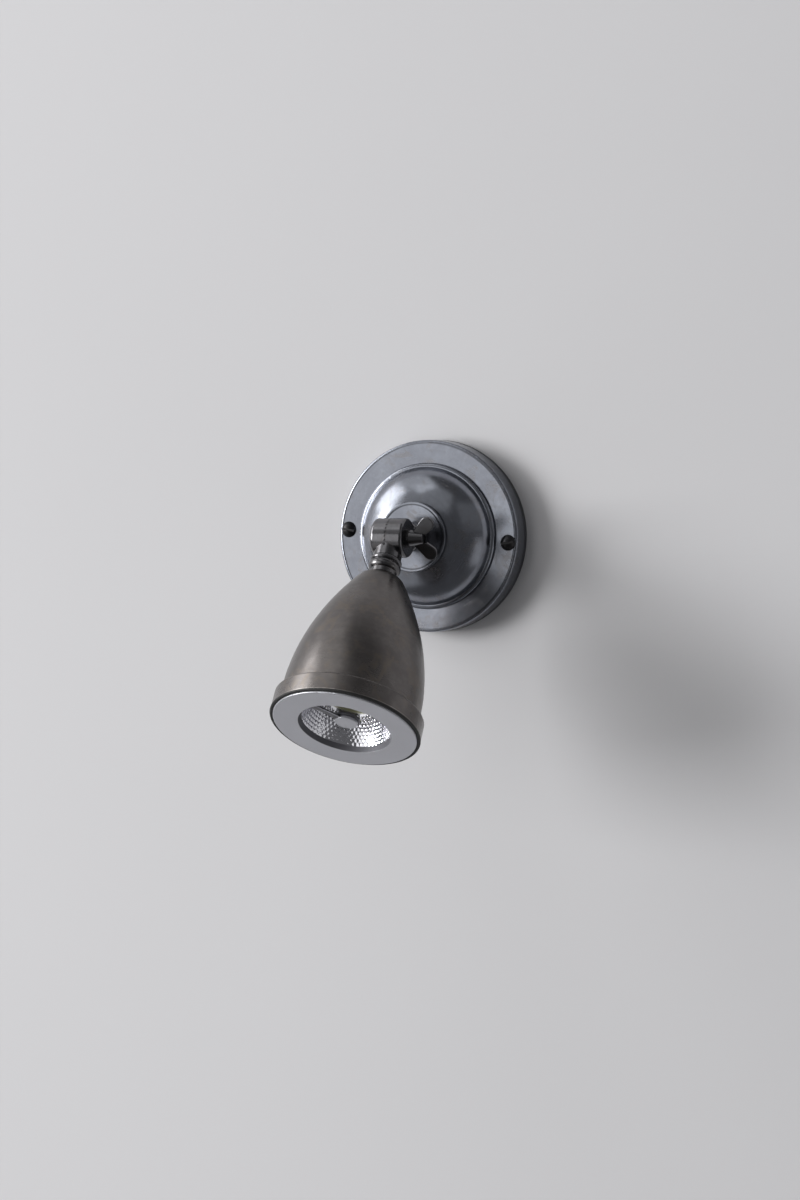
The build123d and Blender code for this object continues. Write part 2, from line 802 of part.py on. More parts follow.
def lamp_face_ring():
    """Flat silver face with a rounded edge, its bore tapering to the reflector's mouth."""
    start = lamp_face_at - face_ring_thickness
    disc = rod(lamp_face_radius, flange_back_at, lamp_face_at)
    front = disc.edges().filter_by(GeomType.CIRCLE).sort_by(Axis.Z)[-1]
    disc = fillet(front, face_flange_rounding)
    spigot = rod(lamp_rim_radius - lamp_wall - fit_gap, start, flange_back_at)
    well = rod(reflector_mouth_radius + reflector_wall + fit_gap, start, reflector_mouth_at)
    return disc + spigot - aperture_space(0, start) - well


def rubber_ring():
    """Flat ring between the shade's rim and the lamp's face."""
    return tube(rubber_ring_radius, rubber_ring_bore_radius, band_end, flange_back_at - lamp_turning_gap)


def reflector_solid(inset):
    """Bowl's solid: a parabola from its floor to its mouth."""
    mouth = reflector_mouth_radius + inset
    floor_radius = reflector_floor_radius + inset
    floor = reflector_mouth_at - reflector_depth - inset
    top = reflector_mouth_at - fit_gap
    curve = Bezier((floor_radius, floor), (reflector_knee_radius + inset, floor + inset), (mouth, top))
    rest = Polyline((mouth, top), (0, top), (0, floor), (floor_radius, floor))
    return revolve(Plane.XZ * make_face([curve, rest]), axis=Axis.Z)


def reflector():
    return reflector_solid(reflector_wall) - reflector_solid(0)


def led_bridge():
    """Heat bridge: a disc at the bowl's centre, its collar, and the arm to the aperture's wall."""
    disc_top = lamp_face_at - bridge_disc_depth
    disc = rod(bridge_disc_radius, disc_top - bridge_disc_thickness, disc_top)
    collar_top = disc_top - bridge_disc_thickness
    collar = rod(bridge_collar_radius, collar_top - bridge_collar_thickness, collar_top)
    side = Polyline(
        (0, disc_top),
        (bridge_disc_radius, disc_top),
        (aperture_radius, lamp_face_at - bridge_arm_top_depth),
        (aperture_radius, reflector_mouth_at + fit_gap),
        (bridge_collar_radius, collar_top - bridge_collar_thickness),
        (0, collar_top - bridge_collar_thickness),
        close=True,
    )
    arm = extrude(Plane.XZ * make_face(side), bridge_arm_width / 2, both=True)
    arm &= aperture_space(fit_gap, disc_top - reflector_depth)
    return disc + collar + Rot(Z=bridge_arm_turn) * arm


def led_chip():
    top = lamp_face_at - bridge_disc_depth - bridge_disc_thickness - bridge_collar_thickness
    return rod(chip_radius, top - chip_thickness, top)


def lamp_shell_outline(inset, start, end):
    """Lamp housing: flares from its waist to its rim, then runs straight."""
    rim_start = lamp_seat_at + lamp_running_gap + inset
    shoulder = bell_radius - shade_wall - lamp_shoulder_gap - inset
    return lathe(
        (0, start),
        (lamp_waist_radius - inset, start),
        (shoulder, rim_start),
        (lamp_rim_radius - inset, rim_start),
        (lamp_rim_radius - inset, end),
        (0, end),
    )


def lamp_body():
    """Thin housing behind the face ring, open at the front."""
    start = lamp_base_at + lamp_base_length
    end = flange_back_at - fit_gap
    shell = lamp_shell_outline(0, start, end) - lamp_shell_outline(lamp_wall, start + lamp_wall, end)
    return shell - rod(board_width / 2 - lamp_wall, start, start + lamp_wall)


def lamp_base():
    """Moulded foot that carries the two pins."""
    end = lamp_base_at + lamp_base_length
    body = rod(lamp_base_radius, lamp_base_at, end)
    for x in (-pin_spacing / 2, pin_spacing / 2):
        body -= Pos(x, 0, 0) * rod(pin_stem_radius + thread_gap, lamp_base_at, end - lamp_wall)
    return body


def lamp_pins():
    """Pins with thick heads, set in the lamp's foot."""
    foot = lamp_base_at + lamp_base_length - lamp_wall
    tip = lamp_base_at - pin_length
    pin = rod(pin_stem_radius, tip, foot) + rod(pin_head_radius, tip, tip + pin_head_length)
    return [Pos(x, 0, 0) * pin for x in (-pin_spacing / 2, pin_spacing / 2)]


def driver_board():
    """Circuit board on edge, standing on the lamp's foot inside the housing."""
    start = lamp_base_at + lamp_base_length + fit_gap
    end = reflector_mouth_at - reflector_depth - reflector_wall - board_clearance
    width = (board_width / 2 - lamp_wall - fit_gap) * 2
    return Pos(0, 0, (start + end) / 2) * Box(width, board_thickness, end - start)


# ---------------------------------------------------------------- the assembly
def grouped(solids, place):
    return Compound(children=[place * solid for solid in solids])


os.makedirs("parts", exist_ok=True)

for build in (
    base_ring, front_cover, cap_collar, stem_nipple, stem_lock_washer, stem_locknut,
    terminal_bracket, earth_tag, terminal_block, block_screw, earth_lead,
):
    write(on_wall * build(), build.__name__)

for build in (fixing_screws, terminal_barrels, terminal_screws):
    write(grouped(build(), on_wall), build.__name__)

write(on_wall * supply_lead(-1, -1), "live_lead")
write(on_wall * supply_lead(1, 1), "neutral_lead")
write(on_stem * wall_knuckle(), "wall_knuckle")

for build in (pivot_bolt, clamp_washer, wing_nut):
    write(on_pivot * build(), build.__name__)

for build in (
    head_knuckle, neck_nipple, shade_lock_washer, shade_locknut, shade, holder_bracket, lampholder,
    lamp_body, lamp_base, driver_board, lamp_face_ring, rubber_ring, reflector, led_bridge, led_chip,
):
    write(on_head * build(), build.__name__)

for build in (holder_screws, holder_contacts, lamp_pins):
    write(grouped(build(), on_head), build.__name__)

write(on_head * lamp_lead(-1), "lamp_live_lead")
write(on_head * lamp_lead(1), "lamp_neutral_lead")
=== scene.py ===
# %% [markdown]
# This script dresses a pivoting spotlight wall light in Blender. The light's exact solids come
# from CAD and are loaded as a fixed frame, and the script adds what a photograph shows on top of
# them: the patina of the bronzed metal, the faceted bowl of the lamp, the painted wall and the
# studio light. Every length is in metres, +Z is up and the light stands out of the wall towards
# -Y.

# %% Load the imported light
import json
import math

import bpy
from mathutils import Euler, Matrix, Vector


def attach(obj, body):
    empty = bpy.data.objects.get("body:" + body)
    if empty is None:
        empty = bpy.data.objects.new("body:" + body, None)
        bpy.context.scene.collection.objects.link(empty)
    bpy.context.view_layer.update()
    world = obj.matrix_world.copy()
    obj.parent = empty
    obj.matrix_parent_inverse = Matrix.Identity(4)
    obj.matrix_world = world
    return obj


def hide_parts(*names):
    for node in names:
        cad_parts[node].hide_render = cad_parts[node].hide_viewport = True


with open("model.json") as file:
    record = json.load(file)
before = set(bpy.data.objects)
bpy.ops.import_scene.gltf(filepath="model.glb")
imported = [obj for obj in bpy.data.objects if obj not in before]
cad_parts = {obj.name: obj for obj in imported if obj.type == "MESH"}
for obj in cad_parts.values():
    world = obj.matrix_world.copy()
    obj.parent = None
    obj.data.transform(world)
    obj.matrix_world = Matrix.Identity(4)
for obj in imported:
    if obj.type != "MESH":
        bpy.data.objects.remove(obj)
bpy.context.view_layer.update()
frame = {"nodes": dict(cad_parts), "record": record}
node_slot = {row["node"]: row["material_slot"] for row in frame["record"]["subparts"]}
mm = 0.001
micron = 0.001 * mm

# %% [markdown]
# The head tilts about the pivot, a line along X, and everything in it was drawn round its own
# axis. A frame placed on the pivot and turned with the head lets its pieces be modelled upright,
# with the pivot at the origin and +Z towards the lamp's face, and set in place at the end.

# %% The head's own frame
pivot_reach = 41.2 * mm
rest_tilt = math.radians(32.2)
head_turn = Euler((math.pi - rest_tilt, 0, 0))
head_frame = Matrix.Translation((0, -pivot_reach, 0)) @ head_turn.to_matrix().to_4x4()


def select_nothing():
    """Deselects everything, because an operator acts on all that is selected."""
    bpy.ops.object.select_all(action="DESELECT")


def set_in_head(piece):
    """Moves a piece from the head's frame to its place, and leaves its object at the origin."""
    select_nothing()
    piece.select_set(True)
    bpy.context.view_layer.objects.active = piece
    piece.matrix_world = head_frame @ piece.matrix_world
    bpy.ops.object.transform_apply(location=True, rotation=True, scale=True)


# %% [markdown]
# A long lens far away keeps a small lamp from looking swollen. The camera's place and turn were
# worked out from the outlines of the round plate, the dome, the cap disc and the lamp's face, so
# the light falls on the same pixels as in the photograph.

# %% Camera
camera_data = bpy.data.cameras.new("camera")
camera = bpy.data.objects.new("camera", camera_data)
bpy.context.scene.collection.objects.link(camera)
camera_right = Vector((0.9214409, 0.3884759, 0.0057536))
camera_up = Vector((-0.0187027, 0.0295599, 0.9993880))
camera_back = Vector((0.3880680, -0.9209846, 0.0345032))
camera_turn = Matrix((camera_right, camera_up, camera_back)).transposed().to_4x4()
camera_place = Vector((0.75112, -1.816374, 0.045139))
camera.matrix_world = Matrix.Translation(camera_place) @ camera_turn
camera_data.sensor_width = 36.0
camera_data.lens = 168.0
camera_data.clip_start = 0.1
camera_data.clip_end = 50.0
bpy.context.scene.camera = camera
print("camera to pivot", (camera.location - head_frame.translation).length)

# %% [markdown]
# Shader arithmetic is easier to read as formulas than as a web of nodes. This small class wraps
# one output socket, and each operator on it adds the matching node and gives back the new output.
# Every other node comes from its one method, node.


# %% Shader formulas
class Wire:
    """One socket of a material, with arithmetic that adds nodes."""

    def __init__(self, tree, socket=None):
        self.tree, self.socket = tree, socket

    def node(self, kind, inputs=None, output=0, **settings):
        """Adds a node: its settings first, then values or links of its sockets."""
        made = self.tree.nodes.new(kind)
        for name, value in settings.items():
            setattr(made, name, value)
        for name, value in (inputs or {}).items():
            if isinstance(value, Wire):
                self.tree.links.new(value.socket, made.inputs[name])
            else:
                made.inputs[name].default_value = value
        return Wire(self.tree, made.outputs[output])

    def math(self, operation, *others):
        inputs = dict(enumerate((self, *others)))
        return self.node("ShaderNodeMath", inputs, operation=operation)

    def __add__(self, other):
        return self.math("ADD", other)

    def __sub__(self, other):
        return self.math("SUBTRACT", other)

    def __rsub__(self, other):
        return (self * -1.0) + other

    def __mul__(self, other):
        return self.math("MULTIPLY", other)

    __radd__ = __add__
    __rmul__ = __mul__

    def most(self, other):
        return self.math("MAXIMUM", other)

    def step(self, low, high):
        """0 below low, 1 above high, and smooth between."""
        inputs = {"Value": self, "From Min": low, "From Max": high}
        return self.node("ShaderNodeMapRange", inputs, interpolation_type="SMOOTHSTEP")

    def band(self, low, high, soft):
        """1 between low and high, fading out over soft on each side."""
        return self.step(low - soft, low) * (1.0 - self.step(high, high + soft))

    def part(self, axis):
        return self.node("ShaderNodeSeparateXYZ", {0: self}, output="XYZ".index(axis))

    def noise(self, scale, detail=4.0, roughness=0.5, distortion=0.0):
        inputs = {
            "Vector": self,
            "Scale": scale,
            "Detail": detail,
            "Roughness": roughness,
            "Distortion": distortion,
        }
        return self.node("ShaderNodeTexNoise", inputs, output="Fac")

    def mix(self, first, second):
        """A colour between first, where this is 0, and second, where it is 1."""
        inputs = {"Factor": self, 6: first, 7: second}
        return self.node("ShaderNodeMix", inputs, output=2, data_type="RGBA")


def colour(red, green, blue):
    return (red, green, blue, 1.0)


# %% [markdown]
# Patterns need coordinates. The wall plate is turned about the line through the origin along Y,
# and the shade about the head's own axis, so a mapping node turns the object's coordinates until
# Z runs along that axis.


# %% Materials and their coordinates
def new_material(name):
    made = bpy.data.materials.new(name)
    made.use_nodes = True
    surface = made.node_tree.nodes["Principled BSDF"]
    place = Wire(made.node_tree).node("ShaderNodeTexCoord", output="Object")
    return made, surface, place


def turned_place(place, frame_matrix):
    """Coordinates in a frame of their own, given by its matrix in the scene."""
    back = frame_matrix.inverted()
    inputs = {"Vector": place, "Location": back.translation, "Rotation": back.to_euler()}
    return place.node("ShaderNodeMapping", inputs, vector_type="POINT")


def distance_from_axis(local):
    across, along = local.part("X"), local.part("Y")
    return (across * across + along * along).math("SQRT")


def feed(surface, **values):
    """Sets or links sockets of the main shader, with _ for a space in a name."""
    for name, value in values.items():
        socket = surface.inputs[name.replace("_", " ")]
        if isinstance(value, Wire):
            value.tree.links.new(value.socket, socket)
        else:
            socket.default_value = value


def bumped(surface, height, distance, strength=0.3):
    inputs = {"Height": height, "Distance": distance, "Strength": strength}
    feed(surface, Normal=height.node("ShaderNodeBump", inputs, output="Normal"))


wall_frame = Euler((math.pi / 2, 0, 0)).to_matrix().to_4x4()
pivot_turn = Euler((0, math.pi / 2, 0)).to_matrix().to_4x4()
knuckle_frame = Matrix.Translation((0, -pivot_reach, 0)) @ pivot_turn

# %% [markdown]
# The plate, dome and knuckle are steel that was turned on a lathe and then darkened in an acid
# bath. The colour came out cloudy, blue-grey with darker and browner patches, and the fine
# turning marks still run round the axis. The clouds change colour and roughness, and the marks
# are a fine bump and a change of roughness that depend only on the distance from the axis.
# Thin rings at known radii or heights are painted on: paler rings are painted highlights along
# edges, and darker rings are painted shade in grooves, under a rim and at an edge.


# %% Bronzed and blackened metals
patch_scale, stain_scale, speck_scale = 55.0, 140.0, 420.0
broad_ring_scale, fine_ring_scale = 700.0, 5200.0
stain_strength = 0.45
# How much paler the painted highlight rings are, and how much darker the painted shade rings are.
highlight_ring_gain, shaded_ring_gain = 2.1, 0.30
line_softness = 0.15 * mm


def rings_of(radius, height, rows):
    """Thin rings, each row an axis name R or Z with its lowest and highest millimetre."""
    found = None
    for axis, low, high in rows:
        across = radius if axis == "R" else height
        ring = across.band(low * mm, high * mm, line_softness)
        found = ring if found is None else found.most(ring)
    return found


def patina(
    name, pale, dark, warm, axis_frame, roughness, marks=0.05, highlight_rings=(), shaded_rings=(), level=1.0
):
    """Cloudy dark metal with turning marks round the Z axis of axis_frame."""
    made, surface, place = new_material(name)
    local = turned_place(place, axis_frame)
    radius, height = distance_from_axis(local), local.part("Z")
    clouds = place.noise(patch_scale, 5.0, 0.6, 0.4).step(0.32, 0.70)
    specks = place.noise(speck_scale, 4.0, 0.65).step(0.40, 0.75)
    stain = place.noise(stain_scale, 6.0, 0.62, 1.1).step(0.50, 0.68)
    ring_place = place.node("ShaderNodeCombineXYZ", {0: radius, 1: height, 2: 0.0})
    rings = ring_place.noise(fine_ring_scale, 3.0, 0.7)
    broad_rings = ring_place.noise(broad_ring_scale, 2.0, 0.5)
    tone = clouds * 0.50 + specks * 0.25 + broad_rings * 0.25
    pale, dark, warm = ([part * level for part in shade] for shade in (pale, dark, warm))
    cloudy = tone.mix(colour(*dark), colour(*pale))
    base = (stain * stain_strength).mix(cloudy, colour(*warm))
    rough = roughness + (0.5 - clouds) * 0.08 + (rings - 0.5) * marks * 2.0 + stain * 0.05
    # Paler rings, painted on as highlights along edges.
    if highlight_rings:
        edge = rings_of(radius, height, highlight_rings) * (0.35 + specks * 0.5)
        base = edge.mix(base, colour(*(part * highlight_ring_gain for part in pale)))
    # Darker rings, painted on as shade in grooves and at edges.
    if shaded_rings:
        shaded_ring_mask = rings_of(radius, height, shaded_rings) * 0.75
        base = shaded_ring_mask.mix(base, colour(*(part * shaded_ring_gain for part in dark)))
    feed(surface, Base_Color=base, Roughness=rough, Metallic=1.0)
    bumped(surface, rings * 0.6 + specks * 0.4, 0.010 * mm)
    return made


plate_tones = (0.300, 0.318, 0.360), (0.200, 0.209, 0.238), (0.200, 0.185, 0.180)
knuckle_tones = (0.250, 0.248, 0.260), (0.150, 0.148, 0.156), (0.170, 0.155, 0.150)
shade_tones = (0.205, 0.191, 0.184), (0.120, 0.111, 0.108), (0.215, 0.180, 0.145)
screw_tones = (0.060, 0.060, 0.064), (0.020, 0.020, 0.022), (0.060, 0.056, 0.054)
# The plate's darker ring is painted shade at the front edge of its flat.
plate_metal = patina("plate_metal", *plate_tones, wall_frame, 0.22, shaded_rings=[("R", 32.5, 32.6)])
# The cap's darker rings are painted shade under its rim and in its groove.
cap_shade_lines = [("R", 12.3, 12.45), ("R", 11.1, 11.4)]
cap_metal = patina("cap_metal", *plate_tones, wall_frame, 0.17, shaded_rings=cap_shade_lines)
# The two knuckle halves are one metal; the head's half is painted darker, as painted shade.
wall_knuckle_metal = patina("wall_knuckle_metal", *knuckle_tones, knuckle_frame, 0.19, level=0.90)
head_knuckle_metal = patina("head_knuckle_metal", *knuckle_tones, knuckle_frame, 0.19, level=0.70)
nut_metal = patina("nut_metal", *knuckle_tones, knuckle_frame, 0.20, level=0.60)
# The shade's paler rings are painted highlights on its band step and its rim.
shade_highlight_lines = [("Z", 67.9, 68.0), ("Z", 74.1, 74.3)]
shade_metal = patina(
    "shade_metal", *shade_tones, head_frame, 0.30, 0.07, highlight_rings=shade_highlight_lines, level=0.95
)
screw_metal = patina("screw_metal", *screw_tones, wall_frame, 0.32)

# %% [markdown]
# The lamp has a satin silver face, a bowl like a mirror and a black rubber ring. The parts inside
# the light are plain stock: zinc plate, brass, ceramic, moulded plastic and coloured wire. They
# show only when the light is opened, so one short recipe with a little cloudiness serves them
# all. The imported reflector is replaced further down, so its slot takes the silver here.


# %% Plain materials
grain_per_cloud = 12.0


def plain(name, base, roughness, metallic=0.0, cloud_scale=220.0, spread=0.12, bump=0.01):
    """An even material, a little lighter and darker in clouds."""
    made, surface, place = new_material(name)
    clouds = place.noise(cloud_scale, 4.0, 0.55)
    grain = place.noise(cloud_scale * grain_per_cloud, 2.0, 0.6)
    lighter = tuple(min(1.0, part * (1.0 + spread)) for part in base)
    darker = tuple(part * (1.0 - spread) for part in base)
    feed(
        surface,
        Base_Color=clouds.mix(colour(*darker), colour(*lighter)),
        Roughness=roughness + (grain - 0.5) * 0.08,
        Metallic=metallic,
    )
    bumped(surface, grain, bump * mm)
    return made


silver_face = plain(
    "silver_face", (0.52, 0.525, 0.555), 0.40, 0.85, cloud_scale=90.0, spread=0.03, bump=0.004
)
black_rubber = plain("black_rubber", (0.012, 0.012, 0.012), 0.62)
finishes = {
    "dark_bronze_plate": plate_metal,
    "dark_bronze_shade": shade_metal,
    "blackened_steel": screw_metal,
    "bronzed_brass": nut_metal,
    "zinc_steel": plain("zinc_steel", (0.62, 0.63, 0.65), 0.30, 1.0),
    "brass": plain("brass", (0.72, 0.56, 0.28), 0.28, 1.0),
    "silver_face": silver_face,
    "chrome_bowl": silver_face,
    "lamp_housing": plain("lamp_housing", (0.55, 0.56, 0.57), 0.45, 1.0),
    "black_rubber": black_rubber,
    "led_phosphor": plain("led_phosphor", (0.62, 0.55, 0.12), 0.35),
    "lamp_foot_plastic": plain("lamp_foot_plastic", (0.85, 0.84, 0.80), 0.45),
    "holder_ceramic": plain("holder_ceramic", (0.88, 0.87, 0.84), 0.25),
    "block_plastic": plain("block_plastic", (0.90, 0.89, 0.86), 0.40),
    "board_green": plain("board_green", (0.08, 0.28, 0.14), 0.35),
    "live_brown": plain("live_brown", (0.28, 0.14, 0.07), 0.40),
    "neutral_blue": plain("neutral_blue", (0.07, 0.20, 0.50), 0.40),
    "earth_green": plain("earth_green", (0.25, 0.50, 0.10), 0.40),
}
own_finishes = {
    "base_ring": patina("ring_metal", *plate_tones, wall_frame, 0.38, level=0.45),
    "cap_collar": cap_metal,
    "wall_knuckle": wall_knuckle_metal,
    "head_knuckle": head_knuckle_metal,
}
for node, piece in frame["nodes"].items():
    piece.data.materials.clear()
    piece.data.materials.append(own_finishes.get(node, finishes[node_slot[node]]))

# %% [markdown]
# The lamp's face is one turned ring of satin silver with a blasted outer flat. The short wall
# down to the bowl is painted darker as painted shade, and made duller, so the ring's finish
# changes inside the aperture's edge.


# %% The face ring
aperture_edge = 16.1 * mm, 16.3 * mm


def ring_finish():
    made, surface, place = new_material("face_ring_silver")
    local = turned_place(place, head_frame)
    # Inside the aperture's edge the colour is painted shade, dark and dull.
    inside = 1.0 - distance_from_axis(local).step(*aperture_edge)
    clouds = place.noise(90.0, 4.0, 0.55)
    grain = place.noise(1500.0, 3.0, 0.6)
    face = clouds.mix(colour(0.475, 0.480, 0.510), colour(0.520, 0.526, 0.560))
    feed(
        surface,
        Base_Color=inside.mix(face, colour(0.13, 0.13, 0.145)),
        Roughness=0.42 + (grain - 0.5) * 0.10 + inside * 0.20,
        Metallic=0.85 - inside * 0.45,
    )
    bumped(surface, grain, 0.004 * mm)
    return made


frame["nodes"]["lamp_face_ring"].data.materials[0] = ring_finish()

# %% [markdown]
# Behind the face ring lies a rubber gasket, whose soft lip stands a little proud of the shade's
# rim and shows as a black line round the ring. Its section, in millimetres of radius and height,
# is drawn once and spun round the lamp's axis. A section that starts and ends on the axis, like
# the bowl's below, is spun without the edge that would close it along the axis.

# %% Gasket
gasket_section = [
    (24.4, 74.30), (26.0, 74.30), (26.15, 74.42), (26.18, 74.70), (26.10, 74.95), (25.85, 75.08),
    (25.55, 75.10), (25.25, 75.05), (25.12, 74.90), (25.10, 74.47), (24.4, 74.47),
]
gasket_steps = 180


def spun(name, section, steps):
    """A section, points of radius and height in a loop or from axis to axis, spun round Z."""
    select_nothing()
    bpy.ops.mesh.primitive_circle_add(vertices=len(section), radius=0.01, location=(0, 0, 0))
    ring = bpy.context.object
    ring.name = name
    for vertex, (radius, height) in zip(ring.data.vertices, section):
        vertex.co = (radius, 0.0, height)
    on_axis = {place for place, point in enumerate(section) if point[0] == 0.0}
    for edge in ring.data.edges:
        edge.select = set(edge.vertices) == on_axis
    for vertex in ring.data.vertices:
        vertex.select = vertex.index in on_axis
    bpy.ops.object.mode_set(mode="EDIT")
    bpy.ops.mesh.select_mode(type="EDGE")
    bpy.ops.mesh.delete(type="EDGE")
    bpy.ops.mesh.select_mode(type="VERT")
    bpy.ops.mesh.select_all(action="SELECT")
    bpy.ops.mesh.spin(steps=steps, angle=2.0 * math.pi, center=(0, 0, 0), axis=(0, 0, 1))
    bpy.ops.mesh.select_all(action="SELECT")
    bpy.ops.mesh.remove_doubles(threshold=micron)
    bpy.ops.mesh.normals_make_consistent(inside=False)
    bpy.ops.object.mode_set(mode="OBJECT")
    return ring


gasket_loop = [(radius * mm, height * mm) for radius, height in gasket_section]
gasket = spun("gasket", gasket_loop, gasket_steps)
bpy.ops.object.shade_smooth_by_angle(angle=math.radians(50.0))
gasket.data.materials.append(black_rubber)
set_in_head(gasket)
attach(gasket, "head")
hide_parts("rubber_ring")
print("gasket faces", len(gasket.data.polygons))

# %% [markdown]
# The lamp's bowl is pressed from bright aluminium into rows of small pillows, each half a pillow
# on from the row below, and its floor is left smooth. A texture would lose the sparkle, because
# each pillow mirrors the room for itself, so the pillows are real: the bowl's outline is spun
# round its axis in fine steps, and then every point is pushed into the bowl by the height of the
# pillow it lies on.

# %% The bowl's outline
bowl_mouth_at = 73.7 * mm
bowl_floor_at = 61.75 * mm
bowl_wall = 0.8 * mm
facet_floor_radius = 10.3 * mm
facet_pitch = 1.27 * mm
facet_height = 0.17 * mm
facets_round = 60
steps_in_facet = 4
floor_rows = 8
outer_rows = 18
curve_points = 2000


def bowl_curve(share, start, knee, end):
    """A point of the bowl's parabola through three handles, each a radius and a height."""
    rest = 1.0 - share
    return tuple(
        rest * rest * first + 2.0 * rest * share * middle + share * share * last
        for first, middle, last in zip(start, knee, end)
    )


def bowl_line(count, start, knee, end):
    return [bowl_curve(place / count, start, knee, end) for place in range(count + 1)]


inner_handles = (7.8 * mm, bowl_floor_at), (11.6 * mm, 65.8 * mm), (15.4 * mm, bowl_mouth_at)
bowl_under = bowl_floor_at - bowl_wall
outer_handles = (8.2 * mm, bowl_under), (12.3 * mm, 65.2 * mm), (16.2 * mm, bowl_mouth_at)
fine_line = bowl_line(curve_points, *inner_handles)
facet_start = next(place for place, point in enumerate(fine_line) if point[0] > facet_floor_radius)
arc = [0.0]
for before, after in zip(fine_line[facet_start:], fine_line[facet_start + 1:]):
    arc.append(arc[-1] + math.dist(before, after))
facet_rows = round(arc[-1] / facet_pitch)
row_length = arc[-1] / facet_rows
facet_line = []
for place in range(facet_rows * steps_in_facet + 1):
    wanted = arc[-1] * place / (facet_rows * steps_in_facet)
    nearest = min(range(len(arc)), key=lambda index: abs(arc[index] - wanted))
    facet_line.append(fine_line[facet_start + nearest])
smooth_line = [
    fine_line[round(facet_start * place / floor_rows)] for place in range(floor_rows)
]
outline = [(0.0, bowl_floor_at), *smooth_line, *facet_line]
outline += [*reversed(bowl_line(outer_rows, *outer_handles)), (0.0, bowl_under)]
print("rows of facets", facet_rows, "each", round(row_length / mm, 2), "mm")
print("points in the bowl's outline", len(outline))

# %% Spin the bowl and raise its facets
pillow_reach = 0.36
row_squeeze = 0.85
placing_gap = 10 * micron
least_cushion = 0.01


def pillow(turn, climb):
    """Height of the pillow, 1 at its middle, at a place in facets round and rows up."""
    best = 0.0
    for row in (math.floor(climb - 0.5), math.floor(climb - 0.5) + 1):
        shift = 0.5 * (row % 2)
        round_offset = turn - shift - round(turn - shift)
        row_offset = climb - 0.5 - row
        best = max(best, 1.0 - (round_offset**2 + row_squeeze * row_offset**2) / pillow_reach)
    return best


faceted_bowl = spun("faceted_bowl", outline, facets_round * steps_in_facet)
place_at_height = {round(point[1] / micron): place for place, point in enumerate(facet_line)}
raised = 0
for vertex in faceted_bowl.data.vertices:
    place = place_at_height.get(round(vertex.co.z / micron))
    if place is None:
        continue
    if abs(math.hypot(vertex.co.x, vertex.co.y) - facet_line[place][0]) > placing_gap:
        continue
    turn = math.degrees(math.atan2(vertex.co.y, vertex.co.x)) / 360.0 * facets_round
    cushion = pillow(turn, place / steps_in_facet)
    vertex.co += vertex.normal * (facet_height * cushion)
    raised += cushion > least_cushion
bpy.ops.object.shade_smooth_by_angle(angle=math.radians(11.0))
print("bowl faces", len(faceted_bowl.data.polygons), "points raised", raised)
set_in_head(faceted_bowl)
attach(faceted_bowl, "lamp")
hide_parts("reflector")

# %% [markdown]
# The bowl's metal is a mirror that has not been polished by hand, so it is a little cloudy. Deep
# in the bowl the smooth floor is tinted olive and made less of a mirror, as a painted reflection
# of the light source's yellow phosphor.


# %% The bowl's mirror
phosphor_reflection_edge = 63.6 * mm, 64.4 * mm


def bowl_finish():
    made, surface, place = new_material("bowl_mirror")
    height = turned_place(place, head_frame).part("Z")
    clouds = place.noise(400.0, 3.0, 0.5)
    # The olive on the deep floor is a painted reflection of the yellow phosphor.
    deep = 1.0 - height.step(*phosphor_reflection_edge)
    bright = clouds.mix(colour(0.66, 0.66, 0.70), colour(0.76, 0.76, 0.80))
    phosphor_reflection = clouds.mix(colour(0.44, 0.44, 0.28), colour(0.54, 0.54, 0.34))
    feed(
        surface,
        Base_Color=deep.mix(bright, phosphor_reflection),
        Roughness=0.09 + clouds * 0.05 + deep * 0.25,
        Metallic=1.0 - deep * 0.5,
    )
    bumped(surface, clouds, 0.002 * mm)
    return made


faceted_bowl.data.materials.append(bowl_finish())

# %% [markdown]
# The heat bridge that holds the light source over the bowl is a coin on a collar, and one flat
# arm that rises to the aperture's wall. The collar and arm take a darker metal, partly painted
# shade. The coin and collar are short cylinders with their rims bevelled, and the arm is a cube
# drawn out along its direction, whose bevelled edges facing out of the bowl get the brighter
# metal as a painted highlight.

# %% Bridge
coin_radius = 3.9 * mm
coin_top = 73.2 * mm
coin_thickness = 1.0 * mm
coin_rim = 0.18 * mm
collar_radius = 4.5 * mm
collar_thickness = 1.1 * mm
collar_rim = 0.20 * mm
disc_sides = 96
# The collar and arm take this darker metal, partly painted shade.
bridge_dark_and_shaded = plain(
    "bridge_dark_and_shaded", (0.15, 0.15, 0.16), 0.42, 0.7, cloud_scale=300.0, spread=0.10, bump=0.002
)
arm_width = 2.3 * mm
arm_turn = math.radians(119.0)
arm_rounding = 0.16 * mm
smooth_below = math.radians(40.0)
arm_lower_line = (3.0 * mm, 72.3 * mm), (15.6 * mm, 73.6 * mm)
arm_upper_line = (3.0 * mm, 73.0 * mm), (16.1 * mm, 74.5 * mm)


def turned_disc(name, radius, low, high, rim):
    """A short cylinder along Z with its upper and lower rims rounded."""
    select_nothing()
    bpy.ops.mesh.primitive_cylinder_add(
        vertices=disc_sides, radius=radius, depth=high - low, location=(0, 0, (low + high) / 2)
    )
    disc = bpy.context.object
    disc.name = name
    bpy.ops.object.transform_apply(location=True, rotation=False, scale=False)
    rounding = disc.modifiers.new("rim", "BEVEL")
    rounding.width, rounding.segments, rounding.limit_method = rim, 3, "ANGLE"
    bpy.ops.object.modifier_apply(modifier="rim")
    bpy.ops.object.shade_smooth_by_angle(angle=smooth_below)
    return disc


